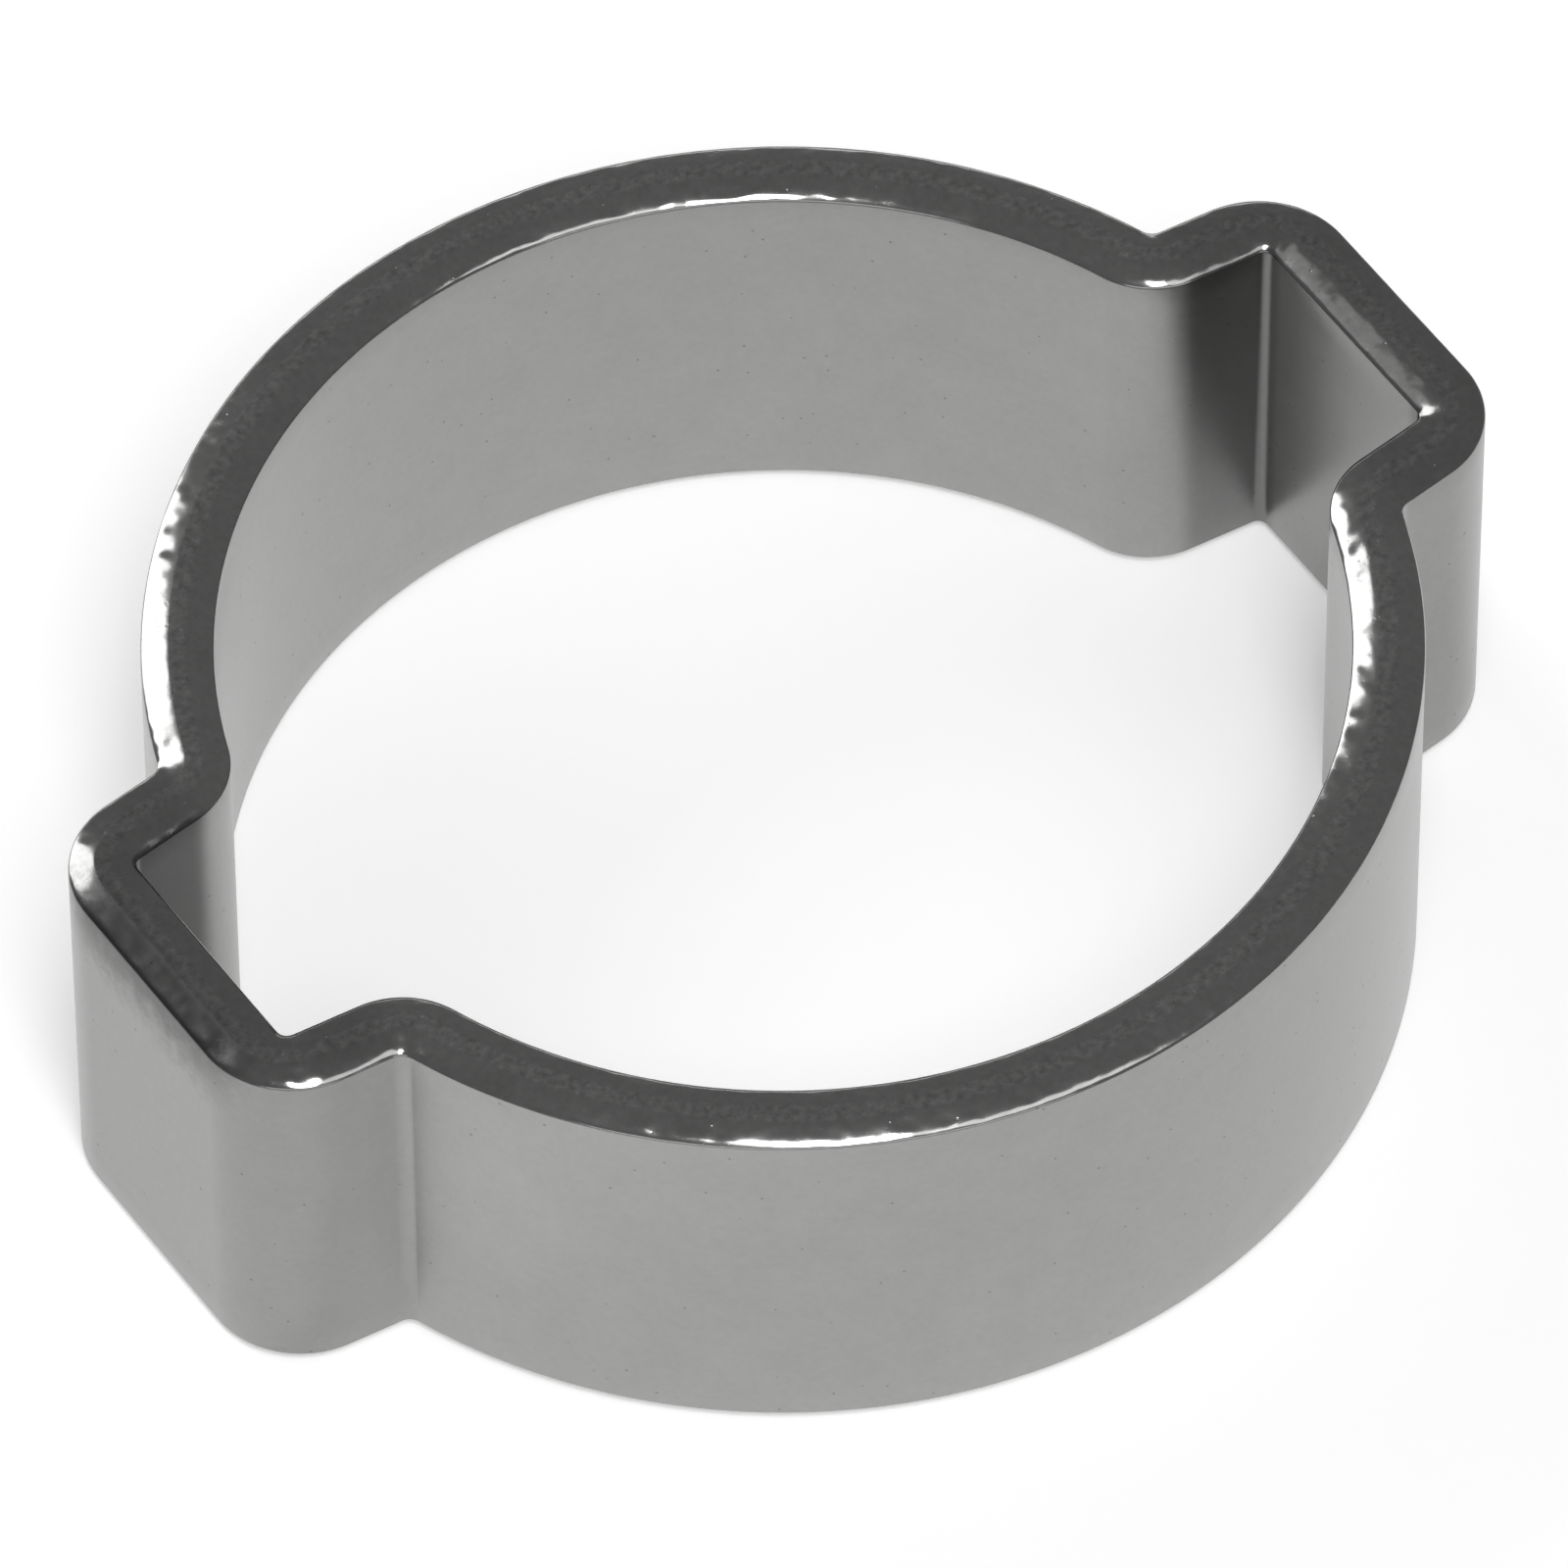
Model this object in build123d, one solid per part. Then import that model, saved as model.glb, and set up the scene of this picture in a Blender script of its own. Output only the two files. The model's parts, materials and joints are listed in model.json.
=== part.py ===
from build123d import *
import os
from math import radians, tan

# Two-ear hose clamp: one closed band of steel, pressed from a slice of seamless tube.
# Two hollow ears stand out from the ring. Squeezing them shut tightens the ring on a hose.
#
# Frame: the origin is on the bore's axis, half way along the band's width.
# +Z runs along the bore, and +X through the middle of one ear. Lengths are in
# millimetres and angles in degrees.

# ---- driving dimensions ----
bore_diameter = 20.0          # inside of the ring, before the ears are squeezed
band_width = 8.0              # along the hose, from rim to rim
band_thickness = 1.3          # of the strip, before the shoulders are pressed
ear_rise = 2.15               # from the bore's circle out to the inner face of an ear's crest
ear_pocket_width = 4.7        # between the inner faces of an ear's two legs, at its crest
leg_lean = 6.0                # of each leg towards the other one, on its way to the crest
foot_bend_radius = 0.3        # in the crease between ring and leg, on the band's outer face
shoulder_bend_radius = 1.8    # round the shoulder between leg and crest, on the band's outer face
shoulder_crease_radius = 0.2  # inside the same shoulder, where the press thins the strip
rim_rounding = 0.35           # of the tumbled edges, along both rims

# ---- worked out from them ----
bore_radius = bore_diameter / 2
crest_reach = bore_radius + ear_rise
pocket_half_width = ear_pocket_width / 2
legs_half_gap_at_axis = pocket_half_width + crest_reach * tan(radians(leg_lean))


def inner_outline(shoulder_radius):
    """The plan that the band's inner face encloses: the bore and both ear pockets."""
    pockets = Polygon(
        (crest_reach, pocket_half_width),
        (0, legs_half_gap_at_axis),
        (-crest_reach, pocket_half_width),
        (-crest_reach, -pocket_half_width),
        (0, -legs_half_gap_at_axis),
        (crest_reach, -pocket_half_width),
        align=None,
    )
    outline = Circle(bore_radius) + pockets

    # The shoulders are the corners farthest from the axis: their crease is on this face.
    shoulders = outline.vertices().group_by(SortBy.DISTANCE)[-1]
    outline = fillet(shoulders, shoulder_radius)

    # The feet are the corners on the bore's circle: this face is the outside of their bend.
    feet = outline.vertices().group_by(SortBy.DISTANCE)[0]
    return fillet(feet, foot_bend_radius + band_thickness)


def clamp_band():
    """The strip: even in thickness, but for the sharper crease inside each shoulder."""
    before_thinning = inner_outline(shoulder_bend_radius - band_thickness)
    outside = offset(before_thinning, amount=band_thickness, kind=Kind.ARC)
    inside = inner_outline(shoulder_crease_radius)
    band = extrude(outside - inside, amount=band_width / 2, both=True)

    # Both rims are sheared square and then tumbled, which rounds all four of their edges.
    rims = band.faces().filter_by(Axis.Z)
    return fillet(rims.edges(), rim_rounding)


band = clamp_band()
os.makedirs("parts", exist_ok=True)
export_step(band, "parts/clamp_band.step")
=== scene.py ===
# %% [markdown]
# # A two-ear hose clamp
#
# A hose clamp of this kind is one closed strip of steel. It starts as a slice of seamless
# tube, and a press pushes two hollow ears out of it. Pliers later squeeze the ears shut,
# and that draws the ring tight round a hose. The lesson builds the strip as one clean
# mesh, gives it a tumbled, zinc-plated finish and lights it on a pale table.
#
# The first cell loads the measured part, which is the frame that everything else fits.

# %% Load the frame
import json
from math import acos, atan2, cos, degrees, pi, radians, sin, sqrt

import bmesh
import bpy
from mathutils import Matrix, Vector, noise


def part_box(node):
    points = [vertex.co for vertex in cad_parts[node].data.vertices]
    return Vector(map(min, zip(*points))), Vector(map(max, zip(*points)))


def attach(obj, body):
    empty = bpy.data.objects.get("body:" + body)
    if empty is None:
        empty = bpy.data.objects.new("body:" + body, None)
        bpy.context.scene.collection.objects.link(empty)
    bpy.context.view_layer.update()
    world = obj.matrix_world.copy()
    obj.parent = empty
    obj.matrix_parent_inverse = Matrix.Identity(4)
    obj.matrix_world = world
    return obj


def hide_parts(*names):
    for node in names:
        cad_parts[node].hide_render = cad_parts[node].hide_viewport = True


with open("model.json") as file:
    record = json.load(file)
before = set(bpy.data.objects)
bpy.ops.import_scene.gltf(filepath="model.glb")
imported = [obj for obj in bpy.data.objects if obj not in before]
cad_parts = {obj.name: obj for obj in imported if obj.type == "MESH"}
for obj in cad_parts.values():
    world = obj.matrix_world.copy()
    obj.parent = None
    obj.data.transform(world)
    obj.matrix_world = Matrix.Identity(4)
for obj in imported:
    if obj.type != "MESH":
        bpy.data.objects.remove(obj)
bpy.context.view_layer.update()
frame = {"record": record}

MM = 0.001
low_corner, high_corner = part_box("clamp_band")
print("the measured clamp is", [round(side / MM, 2) for side in high_corner - low_corner], "mm")

# %% [markdown]
# ## Sizes
#
# The clamp has only a few sizes of its own. The bore, the width and the reach of the ears
# are read from the frame, so the mesh can't drift away from the measured part. The bends
# are written here, as the press tool has them.

# %% Sizes of the strip
band_thickness = 1.3 * MM
ear_pocket_width = 4.7 * MM
leg_lean = radians(6.0)
foot_bend_radius = 0.3 * MM
shoulder_bend_radius = 1.8 * MM
shoulder_crease_radius = 0.2 * MM

hose_bore = frame["record"]["mounts"][0]
bore_radius = hose_bore["dims"]["r_mm"] * MM
band_width = high_corner.z - low_corner.z
crest_reach = high_corner.x - band_thickness
half_pocket = ear_pocket_width / 2
print("the inner face of an ear's crest lies", round(crest_reach / MM, 3), "mm from the axis")

# %% [markdown]
# ## Stations along the strip
#
# Seen along the bore, the inner face is a chain of arcs and straight lines: ring, foot
# bend, leg, shoulder bend, crest. A curve object could trace it, but then the bends would
# be guessed handles. Here each arc's centre is worked out from the sizes, as it would be
# on a drawing board.
#
# The line is kept as a list of stations. A station is a point of the line, the direction
# that points out through the strip, and how far the inner face lies beyond the point.
# That last number is zero but for the shoulders, where the press has thinned the metal.

# %% Stations on an arc and on a straight stretch
station_gap = 0.07 * MM
bend_step = radians(4.5)


def arc_stations(centre, radius, start, end, outward, widest, thinning=None):
    """Stations on an arc. outward is 1 where its centre lies on the bore's side, else -1."""
    swing = abs(end - start)
    count = max(2, round(swing * widest / station_gap), round(swing / bend_step))
    stations = []
    for step in range(count):
        turn = start + (end - start) * step / count
        ray = Vector((cos(turn), sin(turn)))
        thinned = thinning(ray) if thinning else 0
        stations.append((centre + ray * radius, ray * outward, thinned))
    return stations


def line_stations(start, end, outward):
    """Stations on a straight stretch, without its last point."""
    count = max(1, round((end - start).length / station_gap))
    return [(start.lerp(end, step / count), outward, 0) for step in range(count)]


print("stations stand", round(station_gap / MM, 3), "mm apart")

# %% [markdown]
# ## The foot bend
#
# The foot is the tight bend where the ring turns out into an ear's leg. A bent strip keeps
# its thickness, so both faces share one centre: the tight side plus the thickness gives
# the wide side. The centre lies beside the leg's line and a foot radius outside the bore,
# and those two conditions give one quadratic, solved here for the crossing next to the ear.

# %% Where the foot bends
leg_out = Vector((sin(leg_lean), cos(leg_lean)))
leg_along = Vector((cos(leg_lean), -sin(leg_lean)))
crest_corner = Vector((crest_reach, half_pocket))

foot_radius = foot_bend_radius + band_thickness
beside_leg = crest_corner + leg_out * foot_radius
toward_axis = beside_leg.dot(leg_along)
foot_reach = bore_radius + foot_radius
slide = -toward_axis + sqrt(toward_axis**2 - beside_leg.length_squared + foot_reach**2)
foot_centre = beside_leg + leg_along * slide

foot_angle = atan2(foot_centre.y, foot_centre.x)
leg_angle = atan2(leg_out.y, leg_out.x)
leg_start = foot_centre - leg_out * foot_radius
print("a leg starts", round(leg_start.x / MM, 2), "mm from the axis")

# %% [markdown]
# ## The shoulder and its crease
#
# At the shoulder, between leg and crest, the punch drives the inside into a sharp crease,
# while the outside stays a wide round. So the two faces don't share a centre there. The
# stations follow the even bend, which would keep the thickness, and each of them carries
# how far the crease lies beyond it. Both are arcs between the same two straight faces.

# %% How far the crease is pressed in
even_bend = shoulder_bend_radius - band_thickness
shoulder_centre = Vector((
    crest_reach - even_bend,
    half_pocket - even_bend * (1 - sin(leg_lean)) / cos(leg_lean),
))
crease_offset = (leg_out + Vector((1, 0))).normalized()
crease_offset *= (even_bend - shoulder_crease_radius) / crease_offset.x
crease_spread = leg_angle / 2
crease_spread -= atan2(crease_offset.length * sin(crease_spread), even_bend)


def pressed_in(ray):
    """How far the crease's own small arc lies beyond the even bend, along a ray."""
    ahead = crease_offset.dot(ray)
    aslant = abs(crease_offset.cross(ray))
    past_arc = atan2(aslant, ahead) > crease_spread
    if past_arc:
        facing = max(ray.x, ray.dot(leg_out))
        return even_bend / facing - even_bend
    return ahead + sqrt(shoulder_crease_radius**2 - aslant**2) - even_bend


deepest = pressed_in(crease_offset.normalized())
print("the press thins a shoulder by", round(deepest / MM, 3), "mm")

# %% [markdown]
# ## The whole line
#
# The clamp mirrors in both axes, so a quarter of the line is enough. It runs from the top
# of the ring to the middle of the right ear's crest. Mirroring a list is safer here than a
# Mirror modifier, because the ends join exactly and the line closes on itself.

# %% A quarter of the line
leg_end = shoulder_centre + leg_out * even_bend
crest_start = Vector((crest_reach, shoulder_centre.y))
crest_middle = Vector((crest_reach, 0))
crest_out = Vector((1, 0))
bore_centre = Vector((0, 0))

quarter = arc_stations(bore_centre, bore_radius, pi / 2, foot_angle, 1, bore_radius)
quarter += arc_stations(foot_centre, foot_radius, foot_angle + pi, leg_angle + pi, -1, foot_radius)
quarter += line_stations(leg_start, leg_end, leg_out)
quarter += arc_stations(
    shoulder_centre, even_bend, leg_angle, 0, 1, shoulder_bend_radius, pressed_in
)
quarter += line_stations(crest_start, crest_middle, crest_out)
print("a quarter of the strip has", len(quarter), "stations")

# %% Mirror the quarter into a closed line
def mirrored(stations, x, y):
    """The same stations on the other side of an axis, or of both."""
    flip = Vector((x, y))
    return [(point * flip, outward * flip, thinned) for point, outward, thinned in stations]


last = [(crest_middle, crest_out, 0)]
top_right = quarter + last
bottom_right = mirrored(quarter[::-1], 1, -1)
bottom_left = mirrored(quarter[1:] + last, -1, -1)
top_left = mirrored(quarter[:0:-1], -1, 1)
line = top_right + bottom_right + bottom_left + top_left
print("the whole strip has", len(line), "stations")

# %% [markdown]
# ## The worn edge
#
# A rim is sheared square and then tumbled in a drum with stones, which wears its edges
# down. The wear reaches farther across the rim than down the wall. It leaves the flat at
# a slight angle and curves over into the wall. A Bevel modifier would make it a circle. A
# superellipse, with one power for each direction, gives the true shape, and its slope
# tells which way the surface faces.

# %% The profile of a worn edge
edge_width = 0.5 * MM
edge_depth = 0.22 * MM
power_across = 1.05
power_down = 2.2


def edge_point(turn):
    """(from the flat, below the flat, facing aside, facing up) from 0 at the flat to pi / 2."""
    aside = sin(turn) ** (2 / power_across)
    up = max(0, cos(turn)) ** (2 / power_down)
    facing = Vector((
        power_across * aside ** (power_across - 1) / edge_width,
        power_down * up ** (power_down - 1) / edge_depth,
    )).normalized()
    return edge_width * aside, edge_depth * (1 - up), facing.x, facing.y


flat_half = band_thickness / 2 - edge_width
print("between its worn edges a rim keeps a flat of", round(2 * flat_half / MM, 2), "mm")

# %% [markdown]
# ## The strip's section
#
# Across the strip, the section is a tall rectangle with worn corners. It is a list of
# points too: how far out from the strip's middle, how far up, which way the surface faces
# there, and how much the drum knocked it about. Flat walls need few points, and the edges
# need many, because they are what catches the light.

# %% Points round the section
edge_steps = 13
wall_steps = 7
flat_steps = 2
flat_wear = 0.08
wall_wear = 0.04
lean_to_wall = 1.5


def edge_wear(turn):
    """The share of wear: 1 is fully worn. Most is on the edge, nearer the wall than the flat."""
    on_edge = sin(2 * turn) ** 2 * sin(turn) ** lean_to_wall
    return flat_wear * cos(turn) ** 2 + wall_wear * sin(turn) ** 2 + on_edge


def half_rim():
    """(out, up, facing out, facing up, wear) from the rim's middle down to the wall's."""
    top = band_width / 2
    points = [(flat_half * step / flat_steps, top, 0, 1, flat_wear) for step in range(flat_steps)]
    for step in range(edge_steps + 1):
        turn = pi / 2 * step / edge_steps
        out, below, facing_out, facing_up = edge_point(turn)
        points.append((flat_half + out, top - below, facing_out, facing_up, edge_wear(turn)))
    wall_top = top - edge_depth
    for step in range(1, wall_steps):
        points.append((band_thickness / 2, wall_top * (1 - step / wall_steps), 1, 0, wall_wear))
    return points


upper_half = half_rim()
wall_middle = [(band_thickness / 2, 0, 1, 0, wall_wear)]
lower_half = [(out, -up, aside, -facing, wear) for out, up, aside, facing, wear in upper_half[::-1]]
outer = upper_half + wall_middle + lower_half
inner = [(-out, up, -aside, facing, wear) for out, up, aside, facing, wear in outer[-2:0:-1]]
section = outer + inner
most_worn = max(wear for out, up, aside, facing, wear in section)
print("the section has", len(section), "points, worn by shares up to", round(most_worn, 2))

# %% [markdown]
# ## Lumps from the drum
#
# Stones leave the edges a little lumpy, which is why light breaks up along a real rim.
# Smooth noise gives the lumps in two sizes. The drum takes metal away and adds none, so
# the noise is shifted by the average wear, and the mesh doesn't grow past the measured
# part. A bump in the material could shade the lumps too, but it isn't part of the mesh.

# %% How deep the lumps are
lump_size = 0.42 * MM
lump_depth = 0.018 * MM
finer = 1.9
finer_share = 0.6
average_wear = 1.05
elsewhere = Vector((7, 3, 1))


def lumps(point):
    """How far tumbling moves a fully worn spot of the surface: below zero is inward."""
    coarse = noise.noise(point / lump_size)
    fine = noise.noise(point / lump_size * finer + elsewhere)
    return lump_depth * (coarse + finer_share * fine - average_wear)


print("a fully worn spot loses", round(lump_depth * average_wear / MM, 3), "mm on average")

# %% [markdown]
# ## Painted shade in the pockets
#
# The inside of an ear lies in shade, and the faces of its legs mirror the dark floor of the
# pocket, so painted shade darkens their colour there. A painted mask would need an unwrapped
# mesh. Here each point of the mesh simply keeps a number, which the material reads later. The
# left pocket gets the deeper painted shade.

# %% Where the painted shade falls
foot_side = leg_start.x - 0.35 * MM
leg_side = leg_start.x + 0.15 * MM
crest_side = crest_start.y - 0.02 * MM
crease_side = crest_start.y + 0.25 * MM
right_share = 0.55


def smooth_step(value, start, end):
    """0 up to start, 1 from end on, and a soft rise between them."""
    share = min(1, max(0, (value - start) / (end - start)))
    return share * share * (3 - 2 * share)


def painted_shade_in_pocket(place):
    """How much painted shade the band's inner face gets here: most along an ear's legs."""
    past_foot = smooth_step(abs(place.x), foot_side, leg_side)
    beside_crest = smooth_step(abs(place.y), crest_side, crease_side)
    return past_foot * beside_crest * (right_share if place.x > 0 else 1)


print("half way up a left leg the dullness is", round(painted_shade_in_pocket(-(leg_start + leg_end) / 2), 2))

# %% [markdown]
# ## Sweeping the section along the line
#
# Every station gets one ring of points, and neighbouring rings are joined by quads. That
# is what a curve with a bevel object does, but a bevel object can't thin the shoulders or
# wear the edges. The strip closes on itself, so the last ring joins the first one, and the
# mesh has no border anywhere.

# %% Rings of points
facing_bore = -0.5


def ring_of_points(mesh, painted_pocket_shade, station):
    """One ring of the strip: the section, set up at a station."""
    place, outward, thinned = station
    ring = []
    for out, up, facing_out, facing_up, wear in section:
        across = 0.5 + out / band_thickness
        flat = place + outward * (thinned + (band_thickness - thinned) * across)
        point = Vector((flat.x, flat.y, up))
        facing = Vector((outward.x * facing_out, outward.y * facing_out, facing_up))
        vertex = mesh.verts.new(point + facing * wear * lumps(point))
        # Each point keeps how much painted shade it gets, only on the faces toward the bore.
        vertex[painted_pocket_shade] = painted_shade_in_pocket(place) * (facing_out < facing_bore)
        ring.append(vertex)
    return ring


def sweep():
    """The whole strip as one closed mesh."""
    mesh = bmesh.new()
    painted_pocket_shade = mesh.verts.layers.float.new("painted_pocket_shade")
    rings = [ring_of_points(mesh, painted_pocket_shade, station) for station in line]
    for index, ring in enumerate(rings):
        following = rings[(index + 1) % len(rings)]
        for corner in range(len(section)):
            beside = (corner + 1) % len(section)
            mesh.faces.new((ring[corner], following[corner], following[beside], ring[beside]))
    bmesh.ops.recalc_face_normals(mesh, faces=mesh.faces)
    for face in mesh.faces:
        face.smooth = True
    data = bpy.data.meshes.new("clamp_band_plated")
    mesh.to_mesh(data)
    mesh.free()
    return data


band_mesh = sweep()
print("the swept strip has", len(band_mesh.polygons), "faces")

# %% [markdown]
# ## The band in the scene
#
# The mesh becomes an object that rides on the part's body and stands in for the plain solid.
# The three calls keep the dressed part and the measured one together.

# %% The plated band
plated_band = bpy.data.objects.new("clamp_band_plated", band_mesh)
bpy.context.scene.collection.objects.link(plated_band)
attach(plated_band, "root")
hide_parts("clamp_band")
print("the band is", [round(side / MM, 2) for side in plated_band.dimensions], "mm")

# %% [markdown]
# ## Shader maths as Python
#
# A material is a graph of nodes. One small class keeps it readable: it wraps a socket,
# and the usual operators add the Math node that does the sum. Any other node comes from
# one method, which takes the node's type, its settings, and then its sockets by name.

# %% A wrapped socket
class Wire:
    """A socket of a node tree, or the bare tree when there is no socket yet."""

    def __init__(self, tree, socket=None):
        self.tree = tree
        self.socket = socket

    def node(self, kind, settings=None, output=0, **inputs):
        """Adds a node: settings first, then the value or wire of each socket."""
        made = self.tree.nodes.new(kind)
        for name, value in (settings or {}).items():
            setattr(made, name, value)
        for name, value in inputs.items():
            numbered = name.startswith("input_")
            socket = made.inputs[int(name[6:]) if numbered else name.replace("_", " ")]
            if isinstance(value, Wire):
                self.tree.links.new(value.socket, socket)
            else:
                socket.default_value = value
        return Wire(self.tree, made.outputs[output])

    def maths(self, operation, first, second=0.0):
        settings = {"operation": operation}
        return self.node("ShaderNodeMath", settings, input_0=first, input_1=second)

    def __add__(self, other):
        return self.maths("ADD", self, other)

    def __sub__(self, other):
        return self.maths("SUBTRACT", self, other)

    def __rsub__(self, other):
        return self.maths("SUBTRACT", other, self)

    def __mul__(self, other):
        return self.maths("MULTIPLY", self, other)

    def __abs__(self):
        return self.maths("ABSOLUTE", self)

    __radd__ = __add__
    __rmul__ = __mul__


operators = ("add", "radd", "sub", "rsub", "mul", "rmul", "abs")
print("a wire has", sum(f"__{name}__" in vars(Wire) for name in operators), "operators")

# %% [markdown]
# Four helpers name what the finish is made of: a soft step from 0 to 1, smooth noise,
# small round dots, and one number of a place or a direction. The places come from
# Texture Coordinate's Object output, in metres, so a noise's scale is its features per
# metre.

# %% Helpers for a finish
def soft_step(wire, start, end):
    """0 up to start, 1 from end on, with a soft rise. start may be the larger one."""
    settings = {"interpolation_type": "SMOOTHSTEP"}
    return wire.node("ShaderNodeMapRange", settings, Value=wire, From_Min=start, From_Max=end)


def smooth_noise(place, per_metre, detail, roughness):
    return place.node(
        "ShaderNodeTexNoise", Vector=place, Scale=per_metre, Detail=detail, Roughness=roughness
    )


def dots(place, per_metre, edge, core):
    """Round dots at random places: 0 beyond a dot's edge and 1 in its core."""
    cells = place.node(
        "ShaderNodeTexVoronoi", {"feature": "F1"}, Vector=place, Scale=per_metre, Randomness=1.0
    )
    return soft_step(cells, edge, core)


def along_axis(vector, axis):
    """One number of a place or a direction. axis is 0 for X, 1 for Y and 2 for Z."""
    return vector.node("ShaderNodeSeparateXYZ", output=axis, Vector=vector)


finish_helpers = (soft_step, smooth_noise, dots, along_axis)
print("the helpers are", [helper.__name__ for helper in finish_helpers])

# %% [markdown]
# ## The scuff on the left ear
#
# One ear has been rubbed: a dark, ragged patch runs along the upper edge of its outer
# face. It could be painted as a decal, but three soft steps on the place do the same with
# no picture. Noise is added to the place before the steps, and that frays the border.

# %% Where the scuff is
scuff_bottom = 2.2 * MM
scuff_top = 3.8 * MM
scuff_face = -12.7 * MM
scuff_depth = -13.1 * MM
scuff_end = 3.1 * MM
scuff_middle = 1.5 * MM
frayed_down = 1.8 * MM
frayed_along = 2.0 * MM
fray_per_metre = 2600.0


def scuff_mask(place):
    """1 in the middle of the rubbed patch, and 0 off it."""
    ragged = smooth_noise(place, fray_per_metre, detail=4.0, roughness=0.7) - 0.5
    height = along_axis(place, 2) + ragged * frayed_down
    from_middle = abs(along_axis(place, 1)) + ragged * frayed_along
    high_enough = soft_step(height, scuff_bottom, scuff_top)
    on_outer_face = soft_step(along_axis(place, 0), scuff_face, scuff_depth)
    return high_enough * on_outer_face * soft_step(from_middle, scuff_end, scuff_middle)


print("the scuff is about", round(2 * scuff_end / MM, 1), "mm long")

# %% [markdown]
# ## Walls, edges and flats
#
# The walls were smooth tube and are satin. The worn edges are almost polished, and the
# flat between them keeps the grain of the shear. Which of the three a spot is can be told
# by how far the surface faces up or down, so two soft steps on that number part them. A
# third step, on the distance from the middle, tells the ears from the ring.

# %% Which part of the strip a spot is on
edge_begins = 0.2
edge_is_full = 0.7
flat_begins = 0.97
flat_is_full = 0.995
ear_begins = 10.0 * MM
ear_is_full = 11.2 * MM


def parts_of_strip(place, facing):
    """(off the wall, on a rim's flat, on an ear), each from 0 to 1."""
    facing_up = abs(along_axis(facing, 2))
    off_wall = soft_step(facing_up, edge_begins, edge_is_full)
    flat = soft_step(facing_up, flat_begins, flat_is_full)
    on_ear = soft_step(abs(along_axis(place, 0)), ear_begins, ear_is_full)
    return off_wall, flat, on_ear


print("a rim counts as flat up to a tilt of", round(degrees(acos(flat_begins)), 1), "degrees")

# %% [markdown]
# ## The zinc plating
#
# Zinc on tumbled steel is a neutral grey metal, not a mirror. Soft faint clouds come from
# the bath, the grain from the shear, and small dark pits are left where grit struck. The
# clouds and the grain move the shade up and down a little, and the pits also roughen it.
# Grain and pits are a fine bump too, because they are too small to be points of the mesh.
# The ears get a little painted shade, for the dimmer table that they mirror, and the legs
# inside their pockets get much darker painted shade. A picture could hold all this, but here
# the nodes make it at any size.

# %% Shade of the plating
zinc_shade = 0.338
wall_roughness = 0.31
clouds_per_metre = 900.0
grains_per_metre = 6500.0
pits_per_metre = 2400.0
# The next two numbers are painted shade, in the pockets and on the ears.
darker_in_pockets = 0.55
painted_shade_on_ears = 0.17
darker_by_scuff = 0.30
darker_by_scuff_on_edges = 0.45


def zinc_colour(shade):
    """A grey that leans a very little to the warm side."""
    return shade.node("ShaderNodeCombineColor", Red=shade, Green=shade * 1.001, Blue=shade * 0.988)


print("the zinc reflects about", round(zinc_shade * 100), "percent")

# %% [markdown]
# The Principled shader does the rest. Metallic is 1 everywhere, so it is set on the socket
# itself, and only what really changes over the surface is wired: Base Color, Roughness and
# the bump that feeds Normal.

# %% The plated steel
def plated_steel():
    material = bpy.data.materials.new("zinc_plated_steel")
    material.use_nodes = True
    tree = material.node_tree
    tree.nodes.clear()
    start = Wire(tree)
    place = start.node("ShaderNodeTexCoord", output=3)
    facing = start.node("ShaderNodeNewGeometry", output=1)
    off_wall, flat, on_ear = parts_of_strip(place, facing)
    painted_pocket_shade = start.node("ShaderNodeAttribute", {"attribute_name": "painted_pocket_shade"}, output=2)
    scuff = scuff_mask(place)

    cloud = smooth_noise(place, clouds_per_metre, detail=3.0, roughness=0.6)
    grain = smooth_noise(place, grains_per_metre, detail=3.0, roughness=0.6)
    pit = dots(place, pits_per_metre, edge=0.075, core=0.045)
    chip = dots(place, grains_per_metre, edge=0.3, core=0.1)
    scarce = soft_step(cloud, 0.45, 0.62)
    rim_pit = chip * scarce * (off_wall * 0.25 + flat * 0.75)

    shade = zinc_shade + (cloud - 0.5) * 0.05
    shade = shade + (grain - 0.5) * (0.05 + off_wall * 0.08 + flat * 0.30)
    shade = shade - pit * 0.10 - rim_pit * 0.16
    # Painted shade: the legs inside the pockets are much darker.
    shade = shade * (1 - painted_pocket_shade * darker_in_pockets)
    shade = shade * (1 - scuff * (darker_by_scuff + off_wall * darker_by_scuff_on_edges))
    # Painted shade: the ears a little darker than the ring.
    shade = shade * (1 - on_ear * painted_shade_on_ears)

    roughness = wall_roughness + scuff * 0.2 + (cloud - 0.5) * 0.08 + pit * 0.2
    roughness = roughness - off_wall * 0.17 + flat * 0.1 + rim_pit * 0.2
    height = grain * (0.1 + flat * 0.5) - pit - rim_pit
    bump = start.node("ShaderNodeBump", Strength=0.25, Distance=0.01 * MM, Height=height)
    metal = start.node(
        "ShaderNodeBsdfPrincipled",
        Base_Color=zinc_colour(shade),
        Metallic=1.0,
        Roughness=roughness,
        Normal=bump,
    )
    tree.links.new(metal.socket, tree.nodes.new("ShaderNodeOutputMaterial").inputs["Surface"])
    return material


plated_band.data.materials.append(plated_steel())
print("the plating has", len(plated_band.active_material.node_tree.nodes), "nodes")

# %% [markdown]
# ## Camera
#
# The clamp is seen from well above and from the side, with one ear toward the lower left.
# A long lens from far off keeps its width almost the same in front and behind. Aiming the
# camera by a Track To constraint would be simpler, but it couldn't roll. So the camera's
# three directions are worked out from its angles. The lens is given in pixels of a square
# frame and turned into millimetres of the sensor.

# %% Camera angles
frame_pixels = 1600
focal_pixels = 20380
sensor_width = 36.0
azimuth = radians(-34.443)
elevation = radians(51.752)
roll = radians(-0.326)
distance = 354.08 * MM
aim_right = -0.0033 * MM
aim_up = 0.2077 * MM

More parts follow.
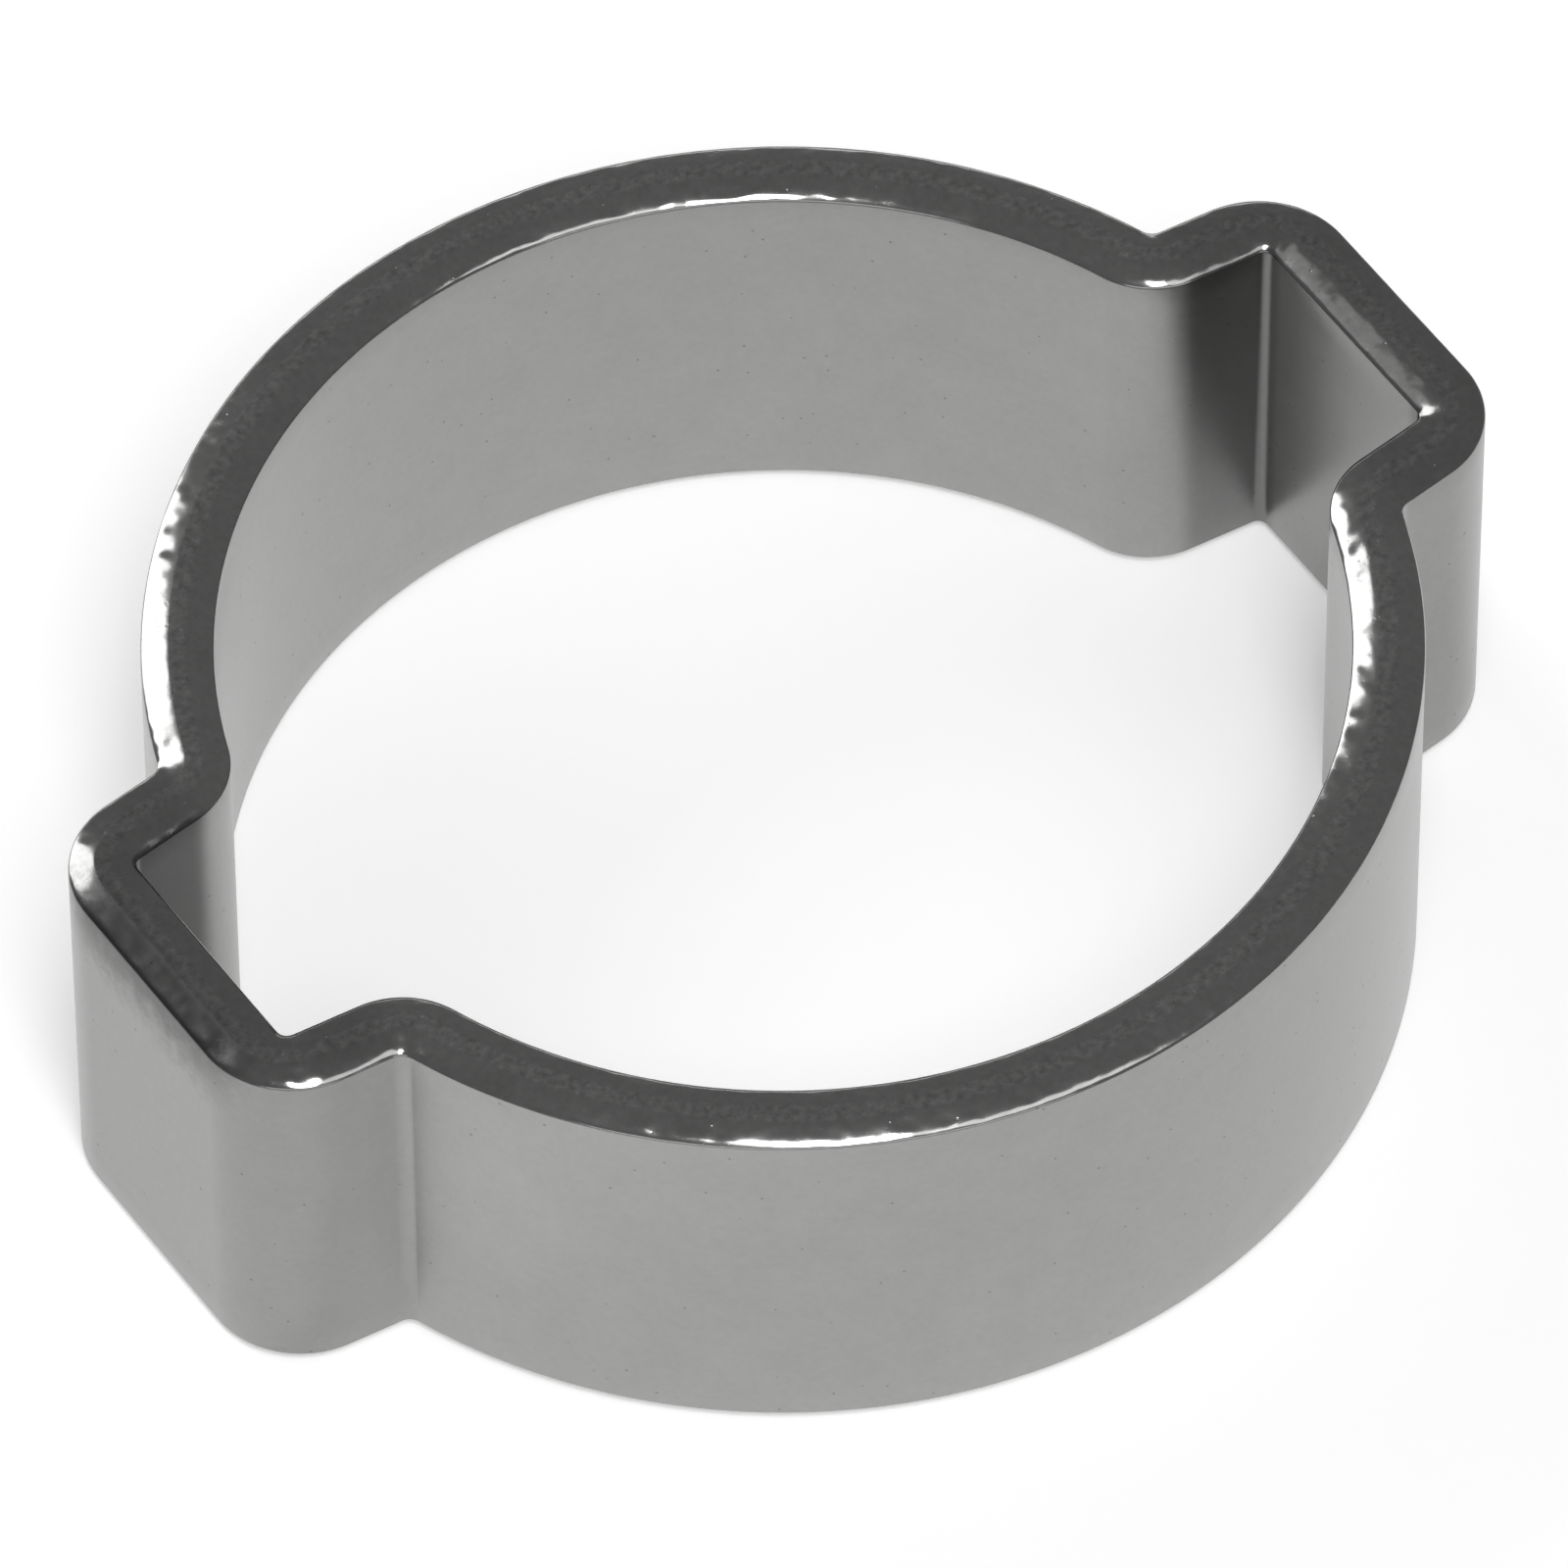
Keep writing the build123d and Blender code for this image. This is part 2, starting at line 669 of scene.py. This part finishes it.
away = Vector((-sin(azimuth), cos(azimuth), 0))
aside = Vector((cos(azimuth), sin(azimuth), 0))
back = Vector((0, 0, sin(elevation))) - away * cos(elevation)
upward = back.cross(aside)
camera_right = aside * cos(roll) + upward * sin(roll)
camera_up = upward * cos(roll) - aside * sin(roll)
print("the camera looks down by", round(degrees(elevation), 1), "degrees")

# %% Camera
lens = bpy.data.cameras.new("camera")
lens.sensor_width = sensor_width
lens.lens = sensor_width * focal_pixels / frame_pixels
lens.clip_start = 10 * MM
camera = bpy.data.objects.new("camera", lens)
turn = Matrix((camera_right, camera_up, back)).transposed()
stand = back * distance - camera_right * aim_right - camera_up * aim_up
camera.matrix_world = Matrix.Translation(stand) @ turn.to_4x4()
bpy.context.scene.collection.objects.link(camera)
bpy.context.scene.camera = camera
print("the camera stands", round(distance / MM), "mm away, with a lens of", round(lens.lens), "mm")

# %% [markdown]
# ## The table
#
# The clamp lies on a small round white table. A flat plane without an end would be
# simpler. But the clamp's walls mirror what lies before them, so the table's brightness is
# most of what makes them pale, and it matters where the table ends. Past its rim the room
# is dim, and that gives the thin dark line between an edge's bright strip and the wall
# below. A soft glow that only camera, mirror and glass rays see lifts the table to white,
# and the clamp's shadow still falls on it.

# %% The table's material
table_shade = 0.94
table_glow = 0.34


def ray_is(start, kind):
    """1 for a ray of one kind and 0 for any other, by Light Path's outputs."""
    kinds = {"camera": 0, "diffuse": 2, "glossy": 3, "transmission": 6}
    return start.node("ShaderNodeLightPath", output=kinds[kind])


def pale_table():
    material = bpy.data.materials.new("pale_table")
    material.use_nodes = True
    tree = material.node_tree
    tree.nodes.clear()
    start = Wire(tree)
    mirrored_or_through = ray_is(start, "glossy") + ray_is(start, "transmission")
    clamped = {"operation": "ADD", "use_clamp": True}
    seen = start.node(
        "ShaderNodeMath", clamped, input_0=ray_is(start, "camera"), input_1=mirrored_or_through
    )
    matte = start.node("ShaderNodeBsdfDiffuse", Color=(table_shade, table_shade, table_shade, 1))
    glow = start.node("ShaderNodeEmission", Color=(1, 1, 1, 1), Strength=seen * table_glow)
    both = start.node("ShaderNodeAddShader", input_0=matte, input_1=glow)
    tree.links.new(both.socket, tree.nodes.new("ShaderNodeOutputMaterial").inputs["Surface"])
    return material


print("the table reflects", round(table_shade * 100), "percent")

# %% The table
table_radius = 45 * MM

disc = bmesh.new()
bmesh.ops.create_circle(disc, cap_ends=True, segments=96, radius=table_radius)
floor_mesh = bpy.data.meshes.new("table")
disc.to_mesh(floor_mesh)
disc.free()
floor = bpy.data.objects.new("table", floor_mesh)
floor.location.z = low_corner.z
floor.data.materials.append(pale_table())
bpy.context.scene.collection.objects.link(floor)
print("the table reaches", round(table_radius / MM), "mm from the axis")

# %% [markdown]
# ## Lamps
#
# Metal shows its surroundings, so each lamp is placed for the streak that it draws on the
# worn edges, and stays plain and soft. The key stands high on the camera's side and lights
# the near rim and the table. A weaker one beside it lets that streak fade out to the right.
# The tall panel behind, at the left, draws the white strips down the left-facing edges. A
# long low strip behind gives the thin line at the far limb, and two dim cards keep the
# edges that face left and forward from going black.

# %% Soft boxes
def softbox(name, right, far, up, width, height, glow):
    """An area lamp at a place in the camera's own directions, aimed at the clamp."""
    lamp = bpy.data.lights.new(name, "AREA")
    lamp.shape = "RECTANGLE"
    lamp.size = width
    lamp.size_y = height
    lamp.energy = glow * pi * width * height
    box = bpy.data.objects.new(name, lamp)
    box.location = aside * right + away * far + Vector((0, 0, up))
    box.rotation_euler = (-box.location).to_track_quat("-Z", "Y").to_euler()
    bpy.context.scene.collection.objects.link(box)
    return box


softbox("key", right=0.030, far=-0.17, up=0.34, width=0.08, height=0.22, glow=12.0)
softbox("key_side", right=0.15, far=-0.13, up=0.32, width=0.18, height=0.16, glow=1.6)
softbox("left_panel", right=-0.329, far=0.3125, up=0.184, width=0.20, height=0.48, glow=3.4)
softbox("left_card", right=-0.229, far=0.122, up=0.331, width=0.16, height=0.16, glow=0.4)
softbox("horizon", right=-0.12, far=0.50, up=0.012, width=0.55, height=0.05, glow=1.6)
softbox("front_card", right=0.05, far=-0.42, up=0.13, width=0.60, height=0.26, glow=0.8)

# %% [markdown]
# ## The room
#
# The room is white to the camera and dim to everything else. The dim part is what the flat
# of a rim mirrors, so it sets how dark the flats are. A matte surface like the table gets
# only about half of it, so that the clamp's shadow stays clear.

# %% The room round the table
room_glow = 0.22
less_on_matte = 0.1

world = bpy.data.worlds.new("studio")
bpy.context.scene.world = world
world.use_nodes = True
tree = world.node_tree
tree.nodes.clear()
start = Wire(tree)
to_camera = ray_is(start, "camera")
dim = room_glow - ray_is(start, "diffuse") * less_on_matte
sky = start.node(
    "ShaderNodeBackground", Color=(1, 1, 1, 1), Strength=to_camera + (1 - to_camera) * dim
)
tree.links.new(sky.socket, tree.nodes.new("ShaderNodeOutputWorld").inputs["Surface"])
bpy.context.scene.view_settings.view_transform = "Standard"
print("the room glows at", room_glow, "and is white to the camera")

# %% [markdown]
